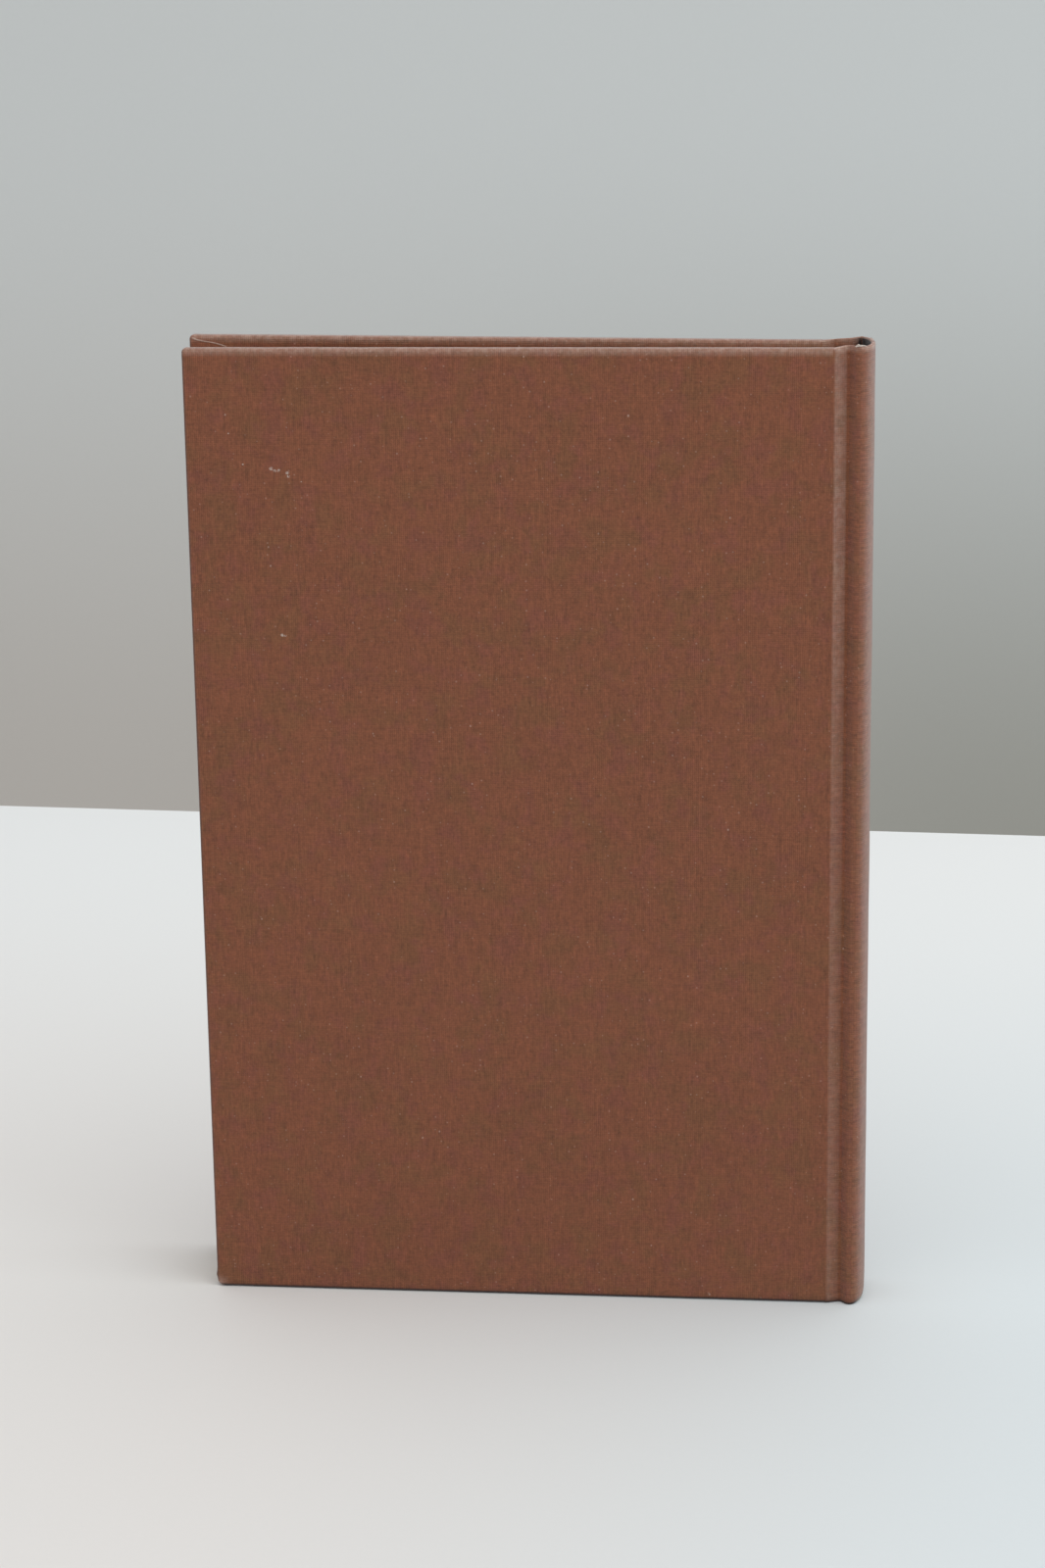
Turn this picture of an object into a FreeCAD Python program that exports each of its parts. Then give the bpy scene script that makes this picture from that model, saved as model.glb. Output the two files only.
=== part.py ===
import FreeCAD, Part

import math
import os

from FreeCAD import Vector

# A slim cloth-bound hardback standing on its tail, in millimetres, +Z up.
# The spine is at +X, the back cover at -Y and the front cover, a little ajar, at +Y.
# Pieces are first laid out round the middle plane of the shut book, with the back board's spine edge
# at X 0, and the finished book is then moved so that the middle of its base is at the origin.

# Case: two boards, a card strip for the spine and one sheet of cloth round them
BOARD_HEIGHT = 235.0
BOARD_WIDTH = 151.4
BOARD_CORE = 2.6
CLOTH = 0.3
TURN_IN = 15.0
BOARD_EDGE_RADIUS = 0.8
BOARD_CORNER_RADIUS = 1.0
WORN_CORNER_RADIUS = 1.8
STRIP_CARD = 0.35
GLUE_LINE = 0.03
STRIP_MARGIN = 0.3
SPINE_BULGE = 3.2
SPINE_PROUD = 0.6
SPINE_TALLER = 0.6
RIDGE_WIDTH = 0.6
RIDGE_RADIUS = 0.9

# Joint: the pressed groove between a board and the spine
JOINT_WIDTH = 5.7
JOINT_SLOPE = 2.15
JOINT_BOTTOM_RADIUS = 0.6
JOINT_CLEARANCE = 0.1
HINGE_OUTSIDE = 0.65

# Pages with their endpapers and spine linings
PAGE_WIDTH = 152.4
PAGE_HEIGHT = 228.6
PAGES_THICKNESS = 9.1
SHOULDER_NIP = 1.1
SHOULDER_RUN = 3.0
SHOULDER_START = 1.0
SPINE_SETBACK = 0.8
ENDPAPER = 0.15
COVER_CLEARANCE = 0.1
GAUZE = 0.2
GAUZE_SHORT = 13.0
LINING_PAPER = 0.2
BAND_RADIUS = 1.0

# How the book sits: the front cover is ajar, and the case is a little out of true
FRONT_AJAR = 3.8
FRONT_SLIP = 2.8

# Distances from the middle plane of the shut book to each layer
PAGE_FACE = PAGES_THICKNESS / 2
FLYLEAF_FACE = PAGE_FACE + ENDPAPER
PASTEDOWN_FACE = FLYLEAF_FACE + COVER_CLEARANCE
TURN_IN_FACE = PASTEDOWN_FACE + ENDPAPER
CORE_INNER_FACE = TURN_IN_FACE + CLOTH
CORE_OUTER_FACE = CORE_INNER_FACE + BOARD_CORE
OUTER_FACE = CORE_OUTER_FACE + CLOTH
SHOULDER_FACE = PAGE_FACE - SHOULDER_NIP
FLYLEAF_SHOULDER = SHOULDER_FACE + ENDPAPER
HINGE_LEAF_FACE = FLYLEAF_SHOULDER + ENDPAPER
GAUZE_FACE = HINGE_LEAF_FACE + GAUZE
GROOVE_FACE = GAUZE_FACE + CLOTH
RIDGE_FACE = OUTER_FACE + SPINE_PROUD

# Places along X and Z
PAGE_SPINE = JOINT_WIDTH - SPINE_SETBACK
PAGE_FORE_EDGE = PAGE_SPINE - PAGE_WIDTH
PAGE_TAIL = (BOARD_HEIGHT - PAGE_HEIGHT) / 2
PAGE_HEAD = PAGE_TAIL + PAGE_HEIGHT
SPINE_HEAD = BOARD_HEIGHT + SPINE_TALLER
SPINE_CENTRE = JOINT_WIDTH + RIDGE_WIDTH
GROOVE_END = JOINT_WIDTH - JOINT_SLOPE
GAUZE_BACK = PAGE_SPINE + GAUZE
STRIP_OUTSIDE = CLOTH + GLUE_LINE
STRIP_INSIDE = STRIP_OUTSIDE + STRIP_CARD
TURN_IN_OUTSIDE = STRIP_INSIDE + GLUE_LINE


def box(low, high):
    """A box between two opposite corners."""
    size = [high[i] - low[i] for i in range(3)]
    return Part.makeBox(size[0], size[1], size[2], Vector(*low))


def rounded_outline(points, radii):
    """A closed wire through the points, each corner rounded by its own radius."""
    count = len(points)
    corners = [Vector(x, y, 0) for x, y in points]
    stops = []
    for i in range(count):
        here = corners[i]
        back = (corners[i - 1] - here).normalize()
        ahead = (corners[(i + 1) % count] - here).normalize()
        if radii[i] == 0:
            stops.append((here, here, here))
            continue
        half = back.getAngle(ahead) / 2
        reach = radii[i] / math.tan(half)
        middle = (back + ahead).normalize() * (radii[i] / math.sin(half) - radii[i])
        stops.append((here + back * reach, here + middle, here + ahead * reach))
    edges = []
    for i in range(count):
        start, middle, end = stops[i]
        if radii[i] > 0:
            edges.append(Part.Arc(start, middle, end).toShape())
        following = stops[(i + 1) % count][0]
        edges.append(Part.LineSegment(end, following).toShape())
    return Part.Wire(edges)


def extruded(points, low, high, radii=None):
    """A solid of the outline's section, from one height to another."""
    outline = rounded_outline(points, radii or [0] * len(points))
    solid = Part.Face(outline).extrude(Vector(0, 0, high - low))
    solid.translate(Vector(0, 0, low))
    return solid


def half_ellipse(inset, low, high):
    """The spine's rounded outline, drawn in by an inset, as a solid from one height to another."""
    across = RIDGE_FACE - inset
    deep = SPINE_BULGE - inset
    centre = Vector(SPINE_CENTRE, 0, 0)
    ellipse = Part.Ellipse(centre + Vector(0, across, 0), centre + Vector(deep, 0, 0), centre)
    solid = Part.Face(Part.Wire([ellipse.toShape()])).extrude(Vector(0, 0, high - low))
    solid.translate(Vector(0, 0, low))
    keep = box((SPINE_CENTRE, -2 * RIDGE_FACE, low), (SPINE_CENTRE + 2 * SPINE_BULGE, 2 * RIDGE_FACE, high))
    return solid.common(keep)


def spine_shell(outside, inside, low, high):
    """A curved wall of the spine between two insets."""
    return half_ellipse(outside, low, high).cut(half_ellipse(inside, low, high))


def rim_edges(solid, direction, place):
    """The solid's edges that lie in the plane across a direction at that place, without the spine's edge."""
    found = []
    for edge in solid.Edges:
        ends = [vertex.Point for vertex in edge.Vertexes] + [edge.CenterOfMass]
        in_plane = all(abs(end.dot(direction) - place) < 1e-6 for end in ends)
        at_spine = all(abs(end.x) < 1e-6 for end in ends)
        if in_plane and not at_spine:
            found.append(edge)
    return found


def rounded_board(inset, tail_corner):
    """A board's outline, drawn in by an inset on its three free edges and both faces, in the back cover's place."""
    fore_edge = inset - BOARD_WIDTH
    outer = -(OUTER_FACE - inset)
    inner = -(TURN_IN_FACE + inset)
    plate = box((fore_edge, outer, inset), (0, inner, BOARD_HEIGHT - inset))
    corners = {inset: tail_corner - inset, BOARD_HEIGHT - inset: BOARD_CORNER_RADIUS - inset}
    for height, radius in corners.items():
        corner = [
            edge
            for edge in plate.Edges
            if all(
                abs(vertex.Point.x - fore_edge) < 1e-6 and abs(vertex.Point.z - height) < 1e-6
                for vertex in edge.Vertexes
            )
        ]
        plate = plate.makeFillet(radius, corner)
    rim = rim_edges(plate, Vector(0, 1, 0), outer) + rim_edges(plate, Vector(0, 1, 0), inner)
    return plate.makeFillet(BOARD_EDGE_RADIUS - inset, rim)


def cover(tail_corner):
    """The three pieces of a cover, shut, in the back cover's place."""
    core = rounded_board(CLOTH, tail_corner)
    window = box(
        (TURN_IN - BOARD_WIDTH, -CORE_INNER_FACE, TURN_IN),
        (0, -TURN_IN_FACE, BOARD_HEIGHT - TURN_IN),
    )
    cloth = rounded_board(0, tail_corner).cut(core).cut(window)
    paper_edge = PAGE_FORE_EDGE
    on_turn_in = box((paper_edge, -TURN_IN_FACE, PAGE_TAIL), (0, -PASTEDOWN_FACE, PAGE_HEAD))
    hollow = box(
        (TURN_IN - BOARD_WIDTH + ENDPAPER, ENDPAPER - CORE_INNER_FACE, TURN_IN + ENDPAPER),
        (0, -PASTEDOWN_FACE, BOARD_HEIGHT - TURN_IN - ENDPAPER),
    )
    pastedown = on_turn_in.fuse(window).removeSplitter().cut(hollow)
    return {"board": core, "cover_cloth": cloth, "pastedown": pastedown}


def pages():
    """The trimmed leaves as one block, nipped in at both shoulders."""
    outline = [(PAGE_FORE_EDGE, -PAGE_FACE)]
    outline += [(SHOULDER_START - SHOULDER_RUN, -PAGE_FACE), (SHOULDER_START, -SHOULDER_FACE)]
    outline += [(PAGE_SPINE, -SHOULDER_FACE), (PAGE_SPINE, SHOULDER_FACE)]
    front = SHOULDER_START - FRONT_SLIP
    outline += [(front, SHOULDER_FACE), (front - SHOULDER_RUN, PAGE_FACE)]
    outline += [(PAGE_FORE_EDGE, PAGE_FACE)]
    return extruded(outline, PAGE_TAIL, PAGE_HEAD)


def flyleaf(side, slip):
    """The free leaf of an endpaper, with its fold at the shoulder and the strip that reaches to the board."""
    shoulder = SHOULDER_START - slip
    groove = JOINT_SLOPE - slip
    board = JOINT_CLEARANCE + ENDPAPER - slip
    outline = [
        (PAGE_FORE_EDGE, PAGE_FACE),
        (shoulder - SHOULDER_RUN, PAGE_FACE),
        (shoulder, SHOULDER_FACE),
        (PAGE_SPINE, SHOULDER_FACE),
        (PAGE_SPINE, HINGE_LEAF_FACE),
        (groove, HINGE_LEAF_FACE),
        (board, CORE_INNER_FACE),
        (board, CORE_INNER_FACE - ENDPAPER),
        (groove, FLYLEAF_SHOULDER),
        (shoulder, FLYLEAF_SHOULDER),
        (shoulder - SHOULDER_RUN, FLYLEAF_FACE),
        (PAGE_FORE_EDGE, FLYLEAF_FACE),
    ]
    return extruded([(x, side * y) for x, y in outline], PAGE_TAIL, PAGE_HEAD)


def spine_gauze():
    """The open-weave strip glued round the back of the pages."""
    reach = GROOVE_END
    outline = [
        (reach, -GAUZE_FACE),
        (GAUZE_BACK, -GAUZE_FACE),
        (GAUZE_BACK, GAUZE_FACE),
        (reach, GAUZE_FACE),
        (reach, HINGE_LEAF_FACE),
        (PAGE_SPINE, HINGE_LEAF_FACE),
        (PAGE_SPINE, -HINGE_LEAF_FACE),
        (reach, -HINGE_LEAF_FACE),
    ]
    return extruded(outline, PAGE_TAIL + GAUZE_SHORT, PAGE_HEAD - GAUZE_SHORT)


def spine_lining():
    """The paper strip over the gauze and the bands' tapes."""
    low = (GAUZE_BACK, -HINGE_LEAF_FACE, PAGE_TAIL)
    high = (GAUZE_BACK + LINING_PAPER, HINGE_LEAF_FACE, PAGE_HEAD)
    return box(low, high)


def head_band():
    """A beaded band across the head of the pages, with its tape on their back."""
    low = (PAGE_SPINE, -HINGE_LEAF_FACE, PAGE_HEAD - GAUZE_SHORT)
    high = (GAUZE_BACK, HINGE_LEAF_FACE, PAGE_HEAD + BAND_RADIUS)
    tape = box(low, high)
    centre = Vector(GAUZE_BACK - BAND_RADIUS, -HINGE_LEAF_FACE, PAGE_HEAD + BAND_RADIUS)
    bead = Part.makeCylinder(BAND_RADIUS, 2 * HINGE_LEAF_FACE, centre, Vector(0, 1, 0))
    return tape.fuse(bead).removeSplitter()


def joint(side, slip):
    """The cloth of one joint, from the board's edge through the groove to the ridge, rising to the spine's head."""
    edge = JOINT_CLEARANCE - slip
    groove = JOINT_SLOPE - slip
    path = [(edge, OUTER_FACE), (groove, GROOVE_FACE), (GROOVE_END, GROOVE_FACE)]
    path += [(JOINT_WIDTH, RIDGE_FACE), (SPINE_CENTRE, RIDGE_FACE)]
    turns = [0, JOINT_BOTTOM_RADIUS, JOINT_BOTTOM_RADIUS, -RIDGE_RADIUS, 0]
    inner = offset_path(path, CLOTH)
    inner_turns = [0 if turn == 0 else turn + CLOTH for turn in turns]
    outline = path + inner[::-1]
    radii = [abs(turn) for turn in turns + inner_turns[::-1]]
    cloth = extruded([(x, side * y) for x, y in outline], 0, SPINE_HEAD, radii)
    beside_board = box((edge, -2 * RIDGE_FACE, 0), (SPINE_CENTRE, 2 * RIDGE_FACE, SPINE_HEAD))
    head_slope = Part.makePolygon(
        [
            Vector(edge, 0, BOARD_HEIGHT),
            Vector(GROOVE_END, 0, SPINE_HEAD),
            Vector(edge, 0, SPINE_HEAD),
            Vector(edge, 0, BOARD_HEIGHT),
        ]
    )
    above_slope = Part.Face(head_slope).extrude(Vector(0, 4 * RIDGE_FACE, 0))
    above_slope.translate(Vector(0, -2 * RIDGE_FACE, 0))
    return cloth.common(beside_board).cut(above_slope)


def offset_path(path, distance):
    """The path moved over to its right by a distance, its corners kept sharp."""
    normals = []
    for (x0, y0), (x1, y1) in zip(path, path[1:]):
        length = math.hypot(x1 - x0, y1 - y0)
        normals.append(((y1 - y0) / length, (x0 - x1) / length))
    moved = []
    for i, (x, y) in enumerate(path):
        before = normals[max(i - 1, 0)]
        after = normals[min(i, len(normals) - 1)]
        share = distance / (1 + before[0] * after[0] + before[1] * after[1])
        moved.append((x + share * (before[0] + after[0]), y + share * (before[1] + after[1])))
    return moved


def spine_cloth():
    """The cloth from one board to the other, over the spine, with its head and tail turned in."""
    shell = spine_shell(0, CLOTH, 0, SPINE_HEAD)
    shell = shell.fuse([joint(-1, 0), joint(1, FRONT_SLIP)])
    turn_in_inside = TURN_IN_OUTSIDE + CLOTH
    for low, high in ((0, TURN_IN), (SPINE_HEAD - TURN_IN, SPINE_HEAD)):
        shell = shell.fuse(spine_shell(TURN_IN_OUTSIDE, turn_in_inside, low, high))
    for low in (0, SPINE_HEAD - CLOTH):
        shell = shell.fuse(spine_shell(0, turn_in_inside, low, low + CLOTH))
    return shell.removeSplitter()


def spine_strip():
    """The card strip between the spine cloth and its turn-ins."""
    end = CLOTH + GLUE_LINE
    strip = spine_shell(STRIP_OUTSIDE, STRIP_INSIDE, end, SPINE_HEAD - end)
    start = SPINE_CENTRE + STRIP_MARGIN
    keep = box((start, -RIDGE_FACE, 0), (start + SPINE_BULGE, RIDGE_FACE, SPINE_HEAD))
    return strip.common(keep)


def hinge_line(side, slip):
    """Where a cover turns: over the middle of the board's side of the groove, just outside the covers."""
    return Vector(JOINT_WIDTH / 2 - slip, side * (OUTER_FACE + HINGE_OUTSIDE), 0)


def build():
    """Every piece of the book by name, with the middle of the base at the origin, and the two hinge lines."""
    pieces = {
        "text_block": pages(),
        "front_flyleaf": flyleaf(1, FRONT_SLIP),
        "back_flyleaf": flyleaf(-1, 0),
        "spine_gauze": spine_gauze(),
        "spine_lining": spine_lining(),
        "head_band": head_band(),
        "spine_cloth": spine_cloth(),
        "spine_strip": spine_strip(),
    }
    middle = Vector(0, 0, BOARD_HEIGHT / 2)
    pieces["tail_band"] = pieces["head_band"].mirror(middle, Vector(0, 0, 1))
    for name, solid in cover(WORN_CORNER_RADIUS).items():
        pieces["back_" + name] = solid
    front_hinge = hinge_line(1, FRONT_SLIP)
    for name, solid in cover(BOARD_CORNER_RADIUS).items():
        mirrored = solid.mirror(Vector(0, 0, 0), Vector(0, 1, 0))
        mirrored.translate(Vector(-FRONT_SLIP, 0, 0))
        mirrored.rotate(front_hinge, Vector(0, 0, 1), -FRONT_AJAR)
        pieces["front_" + name] = mirrored
    reach = Part.makeCompound(list(pieces.values())).optimalBoundingBox(False)
    base = Vector((reach.XMin + reach.XMax) / 2, (reach.YMin + reach.YMax) / 2, 0)
    for solid in pieces.values():
        solid.translate(-base)
    return pieces, {"front": front_hinge - base, "back": hinge_line(-1, 0) - base}


def main():
    pieces, hinges = build()
    os.makedirs("parts", exist_ok=True)
    for name, solid in pieces.items():
        solid.exportStep("parts/" + name + ".step")
        size = solid.optimalBoundingBox(False)
        print(name, solid.isValid(), len(solid.Solids), round(solid.Volume, 2), size)
    for name, line in hinges.items():
        print(name, "hinge at", round(line.x, 3), round(line.y, 3))


main()
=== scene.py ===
import math
import random

import bmesh
import bpy
from bpy.props import FloatProperty, FloatVectorProperty, IntProperty, PointerProperty
from mathutils import Matrix, Vector, noise
from mathutils.geometry import interpolate_bezier


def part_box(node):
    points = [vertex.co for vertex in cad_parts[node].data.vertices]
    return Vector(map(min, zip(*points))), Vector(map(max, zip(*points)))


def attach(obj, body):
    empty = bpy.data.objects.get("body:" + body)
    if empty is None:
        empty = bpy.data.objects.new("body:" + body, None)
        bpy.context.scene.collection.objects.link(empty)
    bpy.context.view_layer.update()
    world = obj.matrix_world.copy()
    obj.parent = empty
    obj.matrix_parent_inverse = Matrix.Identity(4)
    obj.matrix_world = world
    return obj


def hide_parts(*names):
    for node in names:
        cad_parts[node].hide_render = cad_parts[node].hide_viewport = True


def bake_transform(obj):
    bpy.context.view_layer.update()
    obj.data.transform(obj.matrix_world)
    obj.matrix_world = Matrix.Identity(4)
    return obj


bl_info = {
    "name": "Cloth-bound hardback book",
    "version": (1, 0, 0),
    "blender": (4, 5, 0),
    "location": "3D View > Sidebar > Book",
    "description": "Dresses the packed model of a slim, worn hardback in cloth, paper and thread",
    "category": "Object",
}

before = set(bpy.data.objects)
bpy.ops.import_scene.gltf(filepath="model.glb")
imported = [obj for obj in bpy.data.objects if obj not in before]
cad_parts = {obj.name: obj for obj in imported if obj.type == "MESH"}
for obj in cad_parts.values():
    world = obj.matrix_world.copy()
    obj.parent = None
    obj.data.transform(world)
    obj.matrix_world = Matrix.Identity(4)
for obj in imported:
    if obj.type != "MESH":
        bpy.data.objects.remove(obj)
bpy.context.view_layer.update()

MM = 0.001

# The shut book is laid out from the back board's spine edge and the middle plane of the pages
BOOK_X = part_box("back_board")[1].x
BOOK_Y = (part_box("text_block")[0].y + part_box("text_block")[1].y) / 2

# Case
BOARD_HEIGHT = 235.0 * MM
BOARD_WIDTH = 151.4 * MM
BOARD_EDGE_RADIUS = 0.8 * MM
BOARD_CORNER_RADIUS = 1.0 * MM
WORN_CORNER_RADIUS = 1.8 * MM
SPINE_TALLER = 0.6 * MM
SPINE_TOP = BOARD_HEIGHT + SPINE_TALLER
SPINE_CENTRE = 6.3 * MM
SPINE_BULGE = 3.2 * MM
JOINT_WIDTH = 5.7 * MM
GROOVE_START = 3.1 * MM
GROOVE_END = 3.7 * MM
RIDGE_START = 5.5 * MM
BOARD_TURN = 0.36 * MM
FRONT_SLIP = 2.8 * MM
FRONT_AJAR = math.radians(3.8)

# Distances from the middle plane of the shut book to each layer
PAGE_FACE = 4.55 * MM
SHOULDER_FACE = 3.45 * MM
PASTEDOWN_FACE = 4.8 * MM
HINGE_LEAF_MIDDLE = 3.675 * MM
TURN_IN_FACE = 4.95 * MM
GROOVE_FACE = 6.5 * MM
OUTER_FACE = 8.15 * MM
RIDGE_FACE = 8.75 * MM
HINGE_FACE = 8.8 * MM

# Pages and bands
PAGE_SPINE = 4.9 * MM
PAGE_FORE_EDGE = -147.5 * MM
PAGE_TAIL = 3.2 * MM
PAGE_HEAD = 231.8 * MM
SHOULDER_START = 1.0 * MM
SHOULDER_RUN = 3.0 * MM
ENDPAPER = 0.15 * MM
BAND_BACK = 5.1 * MM
BAND_HALF = 3.75 * MM
BAND_RADIUS = 1.0 * MM
BAND_TAPE = 13.0 * MM
BAND_SIDES = 16
BAND_WAIST = 0.86

# Small shapes: rounded board edges, room for the spine strip, the spine's thinner ends and rounded foot,
# the groove's rise low down, the dent above the worn corner, and how far a pastedown sinks
TOLERANCE = 1e-6
CORNER_SEGMENTS = 6
EDGE_SEGMENTS = 5
ROUNDED_EDGE = 1.1 * MM
STRIP_ROOM = 0.41 * MM
SPINE_SEGMENTS = 44
SPINE_END = 4
SPINE_END_THINNER = 0.4
FOOT_HEIGHT = 1.5 * MM
FOOT_DEPTH = 1.0 * MM
GROOVE_LIFT = 0.55 * MM
DENT_HEIGHT = 3.2 * MM
DENT_REACH = 0.7 * MM
DENT_DEPTH = 0.3 * MM
PASTE_SINK = 0.3 * MM

# Loose threads
FRAY_RADIUS = 0.055 * MM
CORNER_THREAD_RADIUS = 0.07 * MM
FOLD_RADIUS = 0.22 * MM
LIP_THREADS = 14
LIP_THREAD_RADIUS = 0.11 * MM

# Wear of the cloth, painted highlight on its lit edges, and painted shade: 1 is bare thread or nearly black
# painted shade, and wear from 1 to 2 turns whitish
# The head edge is lighter partly from wear and partly as a painted highlight where light from above falls on
# it
HEAD_WEAR_AND_HIGHLIGHT = 0.42
CORNER_WEAR = 0.75
EDGE_WEAR = 0.1
FOLD_WEAR = 1.1
LOOSE_WEAR = 1.3
# Painted shade, nearly black: a painted contact shadow along the tail, painted shade inside the hollow spine,
# and painted shade along the fore-edge's rounding
TAIL_PAINTED_SHADOW = 0.92
HOLLOW_PAINTED_SHADE = 0.94
FORE_EDGE_PAINTED_SHADE = 0.5

# Camera, measured from the photograph
CAMERA_PLACE = (84.7 * MM, -809.6 * MM, 345.5 * MM)
CAMERA_TURN = [math.radians(angle) for angle in (75.018, 0.802, 5.895)]
CAMERA_LENS = 79.94

# Light
LIGHT_AIM = Vector((0, 0, 0.1))
SKY_TINT = (0.97, 0.985, 1.0, 1)
SKY_STRENGTH = 0.785

# Where the floor meets the wall behind the book, and how far the wall is turned
WALL_PLACE = (-50 * MM, 422 * MM, 0)
WALL_TURN = math.radians(-3.1)

# From a shape's layout, outer face at +Y, to the front side of the shut book and to its back
FRONT_SIDE = Matrix.Translation((BOOK_X, BOOK_Y, 0))
BACK_SIDE = FRONT_SIDE @ Matrix.Scale(-1, 4, (0, 1, 0))

# How the front cover has turned and slipped from its place on a square, shut book, in the layout
HINGE = Matrix.Translation((JOINT_WIDTH / 2 - FRONT_SLIP, HINGE_FACE, 0))
AJAR = HINGE @ Matrix.Rotation(-FRONT_AJAR, 4, "Z") @ HINGE.inverted()
FRONT_TURN = AJAR @ Matrix.Translation((-FRONT_SLIP, 0, 0))


def srgb(red, green, blue):
    """A colour given in the usual 0 to 255 numbers, as the linear values that shaders take."""
    shares = [value / 255 for value in (red, green, blue)]
    return tuple(s / 12.92 if s <= 0.04045 else ((s + 0.055) / 1.055) ** 2.4 for s in shares)


def length(name, description, default, low, high):
    """A size that a user may change, in millimetres."""
    size = {"default": default * MM, "min": low * MM, "max": high * MM}
    return FloatProperty(name=name, description=description, precision=5, unit="LENGTH", **size)


def amount(name, description, default, low, high):
    """A number of things that a user may change."""
    return IntProperty(name=name, description=description, default=default, min=low, max=high)


def colour(name, description, default):
    """A colour that a user may change."""
    return FloatVectorProperty(
        name=name, description=description, default=srgb(*default), min=0, max=1, size=3, subtype="COLOR"
    )


class BookSizes(bpy.types.PropertyGroup):
    """Sizes of the book's cloth, paper and thread."""

    thread_pitch: length("Thread pitch", "From one thread of the book cloth to the next", 0.47, 0.1, 5)
    cloth_thickness: length("Cloth thickness", "Thickness of the book cloth", 0.3, 0.1, 1)
    turn_in: length("Turn-in", "How far the cloth is folded over inside the case", 15, 5, 30)
    fray_length: length("Fray length", "Length of the loose threads at the spine's ends", 1.5, 0, 5)
    leaf_setback: length("Leaf setback", "How unevenly the leaves were trimmed", 0.09, 0, 1)
    band_thread: length("Band thread", "Width of the thread wound on the two bands", 0.42, 0.2, 1)
    leaf_count: amount("Leaves", "Leaves between the flyleaves", 91, 20, 160)
    section_leaves: amount("Leaves in a section", "Leaves sewn together", 8, 2, 20)
    fray_count: amount("Loose threads", "Threads worn loose at the spine", 64, 0, 300)


class BookColours(bpy.types.PropertyGroup):
    """Colours of the book's materials and of the stage."""

    cloth_red: colour("Cloth, red-brown", "Main colour of the book cloth", (127, 75, 51))
    cloth_olive: colour("Cloth, olive-brown", "Yellowed parts of the book cloth", (120, 76, 49))
    cloth_plum: colour("Cloth, plum-brown", "Redder parts of the book cloth", (125, 71, 56))
    cloth_worn_and_highlit: colour("Cloth, worn", "Threads rubbed bare on edges and corners", (178, 149, 135))
    cloth_scuff: colour("Cloth, scuffed", "Whitish scuffs and specks", (214, 204, 194))
    paper: colour("Paper", "The leaves", (226, 214, 188))
    paper_edge: colour("Paper, aged", "The leaves' darkened edges", (200, 180, 144))
    endpaper: colour("Endpaper", "Pastedowns and flyleaves", (221, 208, 182))
    greyboard: colour("Greyboard", "The boards inside the covers", (142, 132, 116))
    strip_card: colour("Strip card", "The card inside the spine", (150, 126, 96))
    gauze: colour("Gauze", "The open-weave strip round the pages' back", (206, 194, 168))
    lining: colour("Lining paper", "The paper strip over the gauze", (172, 140, 102))
    band: colour("Band thread", "The thread of the head and tail bands", (200, 178, 140))
    floor: colour("Floor", "The table top", (221, 218, 215))
    floor_window_light: colour("Floor, right", "The table top on the window's side", (209, 217, 220))
    floor_far: colour("Floor, far", "The table top next to the wall", (228, 229, 228))
    wall_high: colour("Wall, high", "The wall behind, at the top of the view", (195, 197, 196))
    wall_left: colour("Wall, low left", "The wall behind, low on the left", (176, 170, 164))
    wall_right: colour("Wall, low right", "The wall behind, low on the right", (148, 146, 139))


class Wire:
    """The output of a node, with arithmetic: each operation on it adds one Math node."""

    def __init__(self, finish, socket):
        self.finish = finish
        self.socket = socket

    def __add__(self, other):
        return self.finish.math("ADD", self, other)

    __radd__ = __add__

    def __sub__(self, other):
        return self.finish.math("SUBTRACT", self, other)

    def __rsub__(self, other):
        return self.finish.math("SUBTRACT", other, self)

    def __mul__(self, other):
        return self.finish.math("MULTIPLY", self, other)

    __rmul__ = __mul__

    def __truediv__(self, other):
        return self.finish.math("DIVIDE", self, other)

    def __rtruediv__(self, other):
        return self.finish.math("DIVIDE", other, self)

    def parts(self):
        """The three parts of a vector."""
        node = self.finish.node("ShaderNodeSeparateXYZ", inputs={0: self}).socket.node
        return [Wire(self.finish, output) for output in node.outputs]


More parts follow.
